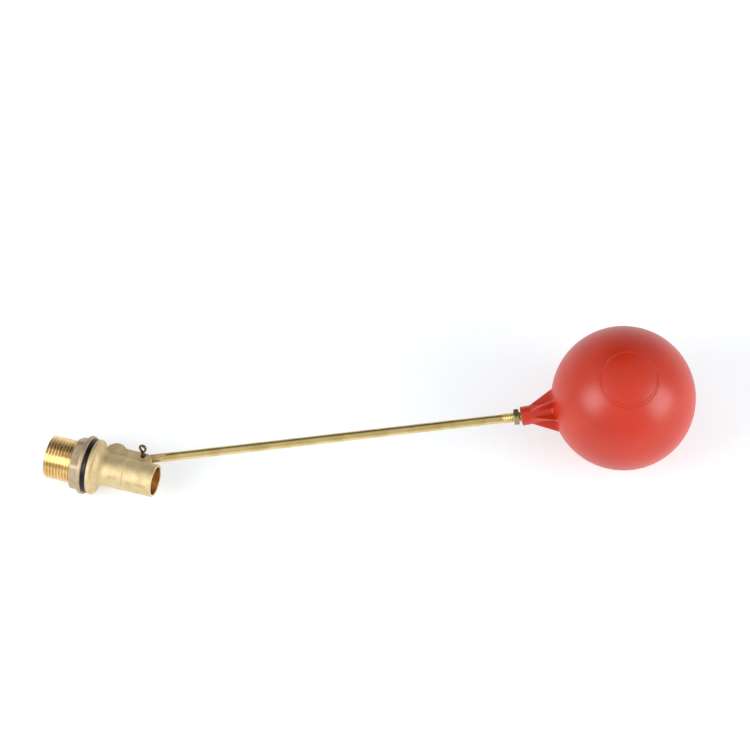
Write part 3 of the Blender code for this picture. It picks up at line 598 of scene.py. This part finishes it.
# %% Rod with its flats and its rolled thread
def rod_points():
    """Section (r cos u) across the rod in the lever's plane and (r sin u) along Z, clipped to
    the flats, whose half width grows from the tongue's to the rod's in a slanting run-out."""
    x, y, heading = [values[:, None] for values in rod_line(rod_steps)]
    far = rod_steps[:, None]
    turn = circle(48)[None, :]
    groove = 0.5 * (1.0 - np.cos(2.0 * np.pi * far - turn))
    thread = ROD_THREAD_RADIUS - ROD_THREAD_DEPTH * groove
    radius = ROD_RADIUS + (thread - ROD_RADIUS) * smooth_step((far - ROD_THREAD_START) / 0.8)
    radius = radius - np.clip(far - ROD_END + 0.8, 0.0, None)
    across, high = radius * np.cos(turn), radius * np.sin(turn)
    run_out = np.clip((far - FLAT_END - FLAT_SLANT * across) / RUN_OUT, 0.0, 1.0)
    flat = TONGUE_HALF + 0.9 * np.sqrt(run_out)
    high = np.where(far < 17.3, np.clip(high, -flat, flat), high)
    points = np.stack([x - across * np.sin(heading), y + across * np.cos(heading),
                       high + 0.0 * x], axis=-1)
    poles = points[[0, -1]].mean(axis=1, keepdims=True) + 0.0 * points[[0, -1]]
    return np.concatenate([poles[:1], points, poles[1:]])


rod_mesh = surface("rod", rod_points(), False)


# %% The tongue's eye and its finger
def arc(centre, radius, start_deg, stop_deg, steps=24):
    """Points (x, y) on an arc."""
    turn = np.radians(np.linspace(start_deg, stop_deg, steps))
    return np.column_stack([centre[0] + radius * np.cos(turn), centre[1] + radius * np.sin(turn)])


def flat_plate(outlines, half_thickness, edge):
    """A flat filled curve, thickened evenly with its edges eased, as a closed mesh."""
    curve = bpy.data.curves.new("outline", "CURVE")
    curve.dimensions, curve.fill_mode = "2D", "BOTH"
    curve.extrude, curve.bevel_depth = (half_thickness - edge) * MM, edge * MM
    curve.offset, curve.bevel_resolution = -edge * MM, 2
    for outline in outlines:
        spline = curve.splines.new("POLY")
        spline.points.add(len(outline) - 1)
        places = np.column_stack([outline * MM, np.zeros(len(outline)), np.ones(len(outline))])
        spline.points.foreach_set("co", places.ravel())
        spline.use_cyclic_u = True
    item = bpy.data.objects.new("outline", curve)
    bpy.context.scene.collection.objects.link(item)
    bpy.context.view_layer.update()
    shaped = item.evaluated_get(bpy.context.evaluated_depsgraph_get())
    mesh = bpy.data.meshes.new_from_object(shaped)
    bpy.data.objects.remove(item)
    return welded(mesh)


LEAN_DEG, FINGER_LENGTH, TIP_RADIUS, NECK_HALF = 4.15, 11.3, 3.2, 1.9
lean = math.radians(LEAN_DEG)
tip = (PIN_X + FINGER_LENGTH * math.sin(lean), PIN_Y - FINGER_LENGTH * math.cos(lean))
eye_open = math.degrees(math.asin(NECK_HALF / ROD_RADIUS))
tip_open = math.degrees(math.asin(NECK_HALF / TIP_RADIUS))
up = 90.0 + LEAN_DEG
finger = np.vstack([arc((PIN_X, PIN_Y), ROD_RADIUS, up - 180.0 + eye_open, up + 180.0 - eye_open),
                    arc(tip, TIP_RADIUS, up + tip_open, up + 360.0 - tip_open)])
tongue_mesh = flat_plate([finger, arc((PIN_X, PIN_Y), 1.5, 0.0, 345.0)], TONGUE_HALF, 0.25)
lever_mesh = joined("lever", [rod_mesh, tongue_mesh])
piece("brass_lever", lever_mesh, "lever", ["lever"], [rod_brass, milled_brass], 60.0)
centre, normal = face_places(lever_mesh)
flats = (np.abs(normal[:, 2]) > 0.99) & (np.abs(centre[:, 2]) < TONGUE_HALF + 0.1)
lever_mesh.polygons.foreach_set("material_index", flats.astype(np.int32))
print("milled faces on the lever:", int(flats.sum()))

# %% [markdown]
# ## The split pin
# Half-round wire is folded flat side to flat side, so the two halves make a round shank and the
# fold makes the eye. The path is therefore the wire's flat side, up one half, round the eye and
# down the other, and a half disc is carried along it on the outer side.


# %% Split pin
HEAD_BEND = 5.9               # height along the pin where its head is bent aside
WIRE = 1.02                   # radius of the half-round wire
HEAD_LEAN_DEG, LEG_BEND_DEG = 20.0, 24.0


def pin_path():
    """(x, z) of the wire's flat side: a leg bent aside, the shank, and an eye whose width is
    sin t (sin t/2)^1.4, which leaves the shank without a kink."""
    t = np.linspace(0.12, 2.0 * np.pi - 0.12, 61)
    eye = np.column_stack([2.1 * np.sin(t) * np.sin(t / 2) ** 1.4, 10.6 - 2.35 * np.cos(t)])
    shank = np.column_stack([np.full(14, 0.05), np.linspace(-5.0, 8.0, 14)])
    reach = np.linspace(5.6, 0.4, 8)
    bent = np.radians(LEG_BEND_DEG)
    leg = np.column_stack([0.05 + reach * np.sin(bent), -5.2 - reach * np.cos(bent)])
    rising = np.vstack([leg, shank])
    path = np.vstack([rising, eye, rising[::-1] * [-1.0, 1.0]])
    for _ in range(2):
        path[1:-1] = (path[:-2] + 2.0 * path[1:-1] + path[2:]) / 4.0
    return path


def pin_points():
    """Half disc (cos v outwards, sin v along Y) on the path, and its flat back, closed at the
    legs' ends. Above HEAD_BEND everything leans about the bend, towards +Y."""
    path = pin_path()
    ahead = np.gradient(path, axis=0)
    ahead /= np.linalg.norm(ahead, axis=1, keepdims=True)
    out = np.column_stack([ahead[:, 1], -ahead[:, 0]])
    bow = np.linspace(-np.pi / 2, np.pi / 2, 13)
    depth = np.concatenate([WIRE * np.cos(bow), np.full(3, 0.02)])
    width = np.concatenate([WIRE * np.sin(bow), np.linspace(0.7, -0.7, 3)])
    x = path[:, :1] + out[:, :1] * depth
    z = path[:, 1:] + out[:, 1:] * depth
    y = width + 0.0 * x
    lean = math.radians(HEAD_LEAN_DEG) * smooth_step((z - HEAD_BEND + 0.8) / 1.6)
    above = z - HEAD_BEND
    leaning_y = y * np.cos(lean) + above * np.sin(lean)
    leaning_z = HEAD_BEND + above * np.cos(lean) - y * np.sin(lean)
    points = np.stack([PIN_X + x, PIN_Y + leaning_y, leaning_z], axis=-1)
    poles = points[[0, -1]].mean(axis=1, keepdims=True) + 0.0 * points[[0, -1]]
    return np.concatenate([poles[:1], points, poles[1:]])


pin_mesh = surface("split_pin", pin_points(), False)
piece("folded_split_pin", pin_mesh, "valve", ["split_pin"], [pin_bronze], 55.0)

# %% [markdown]
# ## The lock nut
# A thin turned hexagon, chamfered on both faces. It is the back nut's formula again, smaller and
# carried to the rod's line.

# %% Lock nut
LOCK_BACK, LOCK_FRONT = 226.6, 229.8
LOCK_BORE, LOCK_OUTER, LOCK_FLAT, LOCK_CORNER, LOCK_EDGE = 3.3, 5.6, 4.8, 5.5, 4.75   # radii
lock_side = np.column_stack([np.linspace(LOCK_BACK + 0.1, LOCK_FRONT - 0.1, 12),
                             np.full(12, LOCK_OUTER)])
lock_corners = rounded([(LOCK_FRONT, LOCK_OUTER, 0.1), (LOCK_FRONT, LOCK_BORE, 0.3),
                        (LOCK_BACK, LOCK_BORE, 0.3), (LOCK_BACK, LOCK_OUTER, 0.1)], 6)
lock_radius = hexagon(LOCK_FLAT, LOCK_CORNER, [(LOCK_BACK, LOCK_EDGE), (LOCK_FRONT, LOCK_EDGE)],
                      1.4, np.pi / 6, 0.05)
lock_points = turned(np.vstack([lock_side, lock_corners]), circle(96),
                     lambda a, r, u: np.where(r > 4.0, lock_radius(a, r, u), r))
lock_mesh = surface("lock_nut", placed(lock_points, (PIN_X, PIN_Y), ROD_DEG))
piece("turned_lock_nut", lock_mesh, "lever", ["lock_nut"], [lock_nut_brass])

# %% [markdown]
# ## The ball
# A hollow moulding, turned about its boss: the boss, a fillet, the sphere to its far pole, and
# back inside. Six ribs brace the boss, each a thin wall under a straight line from the boss to
# the sphere, wider at its foot. Two raised rings on the side frame a plain field.

# %% Ball and boss
BALL_RADIUS, BALL_WALL, BOSS_RADIUS = 44.0, 2.2, 5.8
BOSS_FACE, BOSS_BORE, BALL_CENTRE = 0.7, 4.6, 63.8
FILLET = 1.4                  # between the boss and the sphere
bend_point = (PIN_X + BEND_AT * math.cos(math.radians(ROD_DEG)),
              PIN_Y + BEND_AT * math.sin(math.radians(ROD_DEG)))


def ball_profile():
    """(along, radius): bore, boss, fillet, sphere (c - R cos u, R sin u), and the hollow back."""
    boss = rounded([(BOSS_FACE, BOSS_BORE, 0.15), (BOSS_FACE, BOSS_RADIUS, 0.35),
                    (18.0, BOSS_RADIUS, 0.0001), (18.0, BOSS_BORE, 0.0001)], 6)[:12]
    start = math.asin((BOSS_RADIUS + FILLET) / BALL_RADIUS)
    low = BALL_CENTRE - math.sqrt(BALL_RADIUS ** 2 - BOSS_RADIUS ** 2)
    t = np.linspace(0.0, 1.0, 7)[:, None]
    foot = np.array([BALL_CENTRE - BALL_RADIUS * math.cos(start), BOSS_RADIUS + FILLET])
    fillet = ((1 - t) ** 2 * [low - FILLET, BOSS_RADIUS] + 2 * t * (1 - t) * [low, BOSS_RADIUS]
              + t ** 2 * foot)
    u = np.linspace(start, np.pi, 110)[1:, None]
    outside = np.hstack([BALL_CENTRE - BALL_RADIUS * np.cos(u), BALL_RADIUS * np.sin(u)])
    hollow = BALL_RADIUS - BALL_WALL
    v = np.linspace(np.pi, math.asin(BOSS_BORE / hollow), 40)[:, None]
    inside = np.hstack([BALL_CENTRE - hollow * np.cos(v), hollow * np.sin(v)])
    return np.vstack([boss, fillet, outside, inside])


ball_points = turned(ball_profile(), circle(160))
ball_mesh = surface("ball", placed(ball_points, bend_point, END_DEG))


# %% Ribs
RIB_START, RIB_REACH_DEG, RIB_HALF = 6.7, 17.7, 0.8


def rib_points(roll_deg):
    """A rib's table in its own plane: height from inside the boss to the straight ridge, and
    half width h (1 - f^10) plus a flare that fades with height above the moulding."""
    along = np.concatenate([np.linspace(RIB_START, 19.5, 18), np.linspace(19.8, 21.85, 16)])
    along = along[:, None]
    reach = math.radians(RIB_REACH_DEG)
    top_end = (BALL_CENTRE - BALL_RADIUS * math.cos(reach), BALL_RADIUS * math.sin(reach))
    slope = (top_end[1] - BOSS_RADIUS) / (top_end[0] - RIB_START)
    ridge = BOSS_RADIUS + (along - RIB_START) * slope
    sphere = np.sqrt(np.clip(BALL_RADIUS ** 2 - (BALL_CENTRE - along) ** 2, 0.0, None))
    skin = np.maximum(sphere, BOSS_RADIUS)
    root = np.minimum(skin, ridge) - 0.8
    rise = np.concatenate([np.linspace(0.0, 0.8, 8), np.linspace(0.86, 1.0, 7)])
    share = np.concatenate([rise, rise[::-1]])[None, :]
    side = np.concatenate([np.ones(15), -np.ones(15)])[None, :]
    height = root + (ridge - root) * share
    flare = 0.6 * np.exp(-np.clip(height - skin, 0.0, None) / 0.5)
    half = (RIB_HALF + flare) * (1.0 - share ** 10)
    turn = math.radians(roll_deg)
    width = side * half
    points = np.stack([along + 0.0 * height, height * math.cos(turn) - width * math.sin(turn),
                       height * math.sin(turn) + width * math.cos(turn)], axis=-1)
    poles = points[[0, -1]].mean(axis=1, keepdims=True) + 0.0 * points[[0, -1]]
    return np.concatenate([poles[:1], points, poles[1:]])


rib_meshes = [surface("rib", placed(rib_points(30.0 + 60.0 * k), bend_point, END_DEG), False)
              for k in range(6)]


# %% Raised rings
def ring_points(facing, spread_deg, proud, half_width):
    """A bead on the sphere round the direction `facing`: a small ellipse carried round a circle
    that lies `spread_deg` from it, seen from the ball's centre."""
    facing = np.array(facing) / np.linalg.norm(facing)
    side = np.cross(facing, [0.0, 1.0, 0.0])
    side /= np.linalg.norm(side)
    other = np.cross(facing, side)
    round_by, bead = circle(160)[:, None], circle(12)[None, :]
    spread = math.radians(spread_deg) + half_width * np.cos(bead) / BALL_RADIUS
    away = (BALL_RADIUS + proud * np.sin(bead))[..., None]
    turn = (np.cos(round_by)[..., None] * side + np.sin(round_by)[..., None] * other)
    direction = facing * np.cos(spread)[..., None] + turn * np.sin(spread)[..., None]
    line = np.radians(END_DEG)
    centre = np.array([bend_point[0] + BALL_CENTRE * math.cos(line),
                       bend_point[1] + BALL_CENTRE * math.sin(line), 0.0])
    return centre + direction * away


OUTER_FACING, INNER_FACING = (0.175, -0.215, 0.963), (0.170, -0.200, 0.966)
ring_meshes = [surface("ring", ring_points(OUTER_FACING, 23.8, 0.28, 0.4)),
               surface("ring", ring_points(INNER_FACING, 22.4, 0.22, 0.3))]
float_mesh = joined("float_shell", [ball_mesh, *rib_meshes, *ring_meshes])
piece("moulded_ball", float_mesh, "lever", ["float_shell"], [red_plastic])

# %% [markdown]
# ## Pieces that stay as the CAD made them
# The piston, its seal and the bush in the ball are plain turned or moulded shapes, right as they
# are. They only get their finishes.

# %% Finishes on the kept nodes
for node, finish in (("piston", turned_brass), ("piston_seal", seal_rubber),
                     ("float_insert", turned_brass)):
    for material_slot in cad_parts[node].material_slots:
        material_slot.material = finish

# %% [markdown]
# ## The stage
# The valve lies on its side on a pale floor, which touches the ball and the rim of the back nut.
# The camera has a long lens, and two soft lights stand to its left and right.

# %% Floor
ball_low, ball_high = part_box("float_shell")
nut_low, nut_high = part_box("back_nut")
ball_x = ball_high.x - BALL_RADIUS * MM
RIM_AT = 0.0085               # metres from the nut's front to the rim it lies on, about
FLOOR_GAP = 0.0002            # metres, so that nothing cuts the floor at rest
tilt = math.asin((BALL_RADIUS * MM - nut_high.z) / (ball_x - nut_low.x - RIM_AT))
floor_up = Vector((math.sin(tilt), 0.0, math.cos(tilt)))
floor_mesh = bpy.data.meshes.new("floor")
FLOOR_HALF = 3.0              # metres
floor_corners = [(x * FLOOR_HALF, y * FLOOR_HALF, 0.0) for x, y in
                 ((-1, -1), (1, -1), (1, 1), (-1, 1))]
floor_mesh.from_pydata(floor_corners, [], [(0, 1, 2, 3)])
floor = bpy.data.objects.new("floor", floor_mesh)
bpy.context.scene.collection.objects.link(floor)
touch = Vector((ball_x, 0.0, 0.0)) - BALL_RADIUS * MM * floor_up
floor.matrix_world = (Matrix.Translation(floor_up * (floor_up.dot(touch) - FLOOR_GAP))
                      @ floor_up.to_track_quat("Z", "Y").to_matrix().to_4x4())
floor_paint, tree, _ = new_material("pale_floor")
finish_material(tree, {"Base Color": linear("#C8CCD0"), "Roughness": 0.8,
                       "Emission Color": linear("#FAFBFA"), "Emission Strength": 0.50})
floor_mesh.materials.append(floor_paint)
print("floor tilt, degrees:", round(math.degrees(tilt), 2))

# %% Camera
VIEW_AZIMUTH, VIEW_ELEVATION, VIEW_ROLL = 24.86, 58.92, -8.77
AIM = Vector((0.1512, 0.0963, 0.0167))
DISTANCE, VIEW_WIDTH, SENSOR = 2.4, 0.4566, 36.0
azimuth, elevation, roll = [math.radians(v) for v in (VIEW_AZIMUTH, VIEW_ELEVATION, VIEW_ROLL)]
toward = Vector((math.sin(azimuth) * math.cos(elevation), -math.cos(azimuth) * math.cos(elevation),
                 math.sin(elevation)))
level = Vector((math.cos(azimuth), math.sin(azimuth), 0.0))
right = level * math.cos(roll) + toward.cross(level) * math.sin(roll)
upward = toward.cross(right)
lens = bpy.data.cameras.new("camera")
lens.sensor_width, lens.lens = SENSOR, SENSOR * DISTANCE / VIEW_WIDTH
lens.clip_start, lens.clip_end = 0.05, 20.0
camera = bpy.data.objects.new("camera", lens)
bpy.context.scene.collection.objects.link(camera)
facing = Matrix((right, upward, toward)).transposed().to_4x4()
camera.matrix_world = Matrix.Translation(AIM + toward * DISTANCE) @ facing
bpy.context.scene.camera = camera


# %% Lights
def soft_light(name, aside, above, front, size, power, distance=1.3):
    """A square softbox that faces the valve, placed by the camera's own axes."""
    lamp = bpy.data.lights.new(name, "AREA")
    lamp.shape, lamp.size, lamp.energy = "SQUARE", size, power
    item = bpy.data.objects.new(name, lamp)
    bpy.context.scene.collection.objects.link(item)
    direction = (right * aside + upward * above + toward * front).normalized()
    item.matrix_world = (Matrix.Translation(AIM + direction * distance)
                         @ direction.to_track_quat("Z", "Y").to_matrix().to_4x4())


soft_light("left_softbox", -0.73, -0.05, 0.68, 0.75, 9.5)
soft_light("right_softbox", 0.86, -0.08, 0.50, 0.75, 8.5)
world = bpy.data.worlds.new("studio")
bpy.context.scene.world = world
world.use_nodes = True
sky = world.node_tree
sky.nodes.clear()
DARK_SPOT = (-0.20, 0.64, 0.742)        # the unlit part of the studio, over the table
ray = add_node(sky, "TexCoord", {}).outputs["Generated"]
to_back = add_node(sky, "VectorMath", {"Vector": ray}, operation="DOT_PRODUCT")
to_back.inputs[1].default_value = DARK_SPOT
glow = add_node(sky, "MapRange", {"Value": to_back.outputs["Value"], "From Min": 0.85,
                                  "From Max": 0.975, "To Min": 0.62, "To Max": 0.0},
                interpolation_type="SMOOTHSTEP")
background = add_node(sky, "Background", {"Color": linear("#FBFCFF"),
                                          "Strength": glow.outputs["Result"]})
add_node(sky, "OutputWorld", {"Surface": background.outputs["Background"]})
bpy.context.scene.view_settings.view_transform = "Standard"
